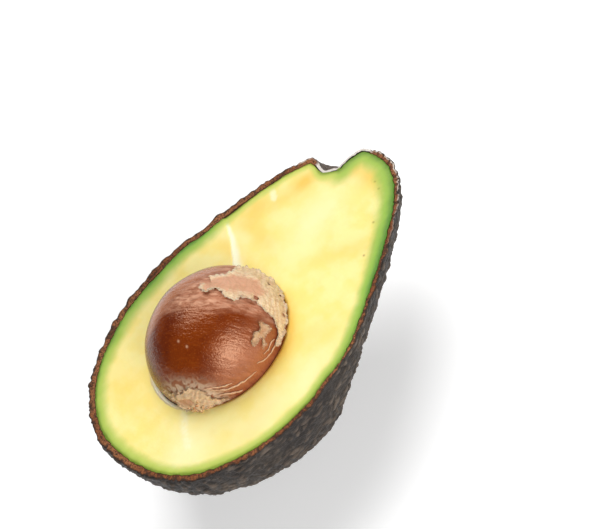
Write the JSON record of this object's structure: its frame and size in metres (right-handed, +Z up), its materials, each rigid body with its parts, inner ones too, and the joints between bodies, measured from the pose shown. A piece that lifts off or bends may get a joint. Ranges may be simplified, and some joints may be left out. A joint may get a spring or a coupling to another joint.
{
  "type": "avocado half",
  "caption": "Half an avocado with its pit, cut lengthwise, lying on its rounded back with the cut face up",
  "frame": {"origin": "point of the small flat spot on the peel's underside, within 2 mm of the point under the middle of the mass; the half rests on that spot", "axes": "+X along the length towards the stem end, +Z up out of the cut face, +Y across the width"},
  "size_m": [0.1059, 0.0701, 0.0541],
  "materials": {
    "peel": "dark brown-black pebbled skin, rusty red-brown where it is cut",
    "flesh": "moist creamy yellow flesh, green beside the peel",
    "pit": "glossy chestnut brown",
    "seed_coat": "matt papery tan"
  },
  "bodies": {
    "root": {"peel": "peel", "flesh": "flesh", "pit": "pit", "seed_coat_cap": "seed_coat", "seed_coat_flake": "seed_coat", "seed_coat_base": "seed_coat"}
  },
  "joints": []
}
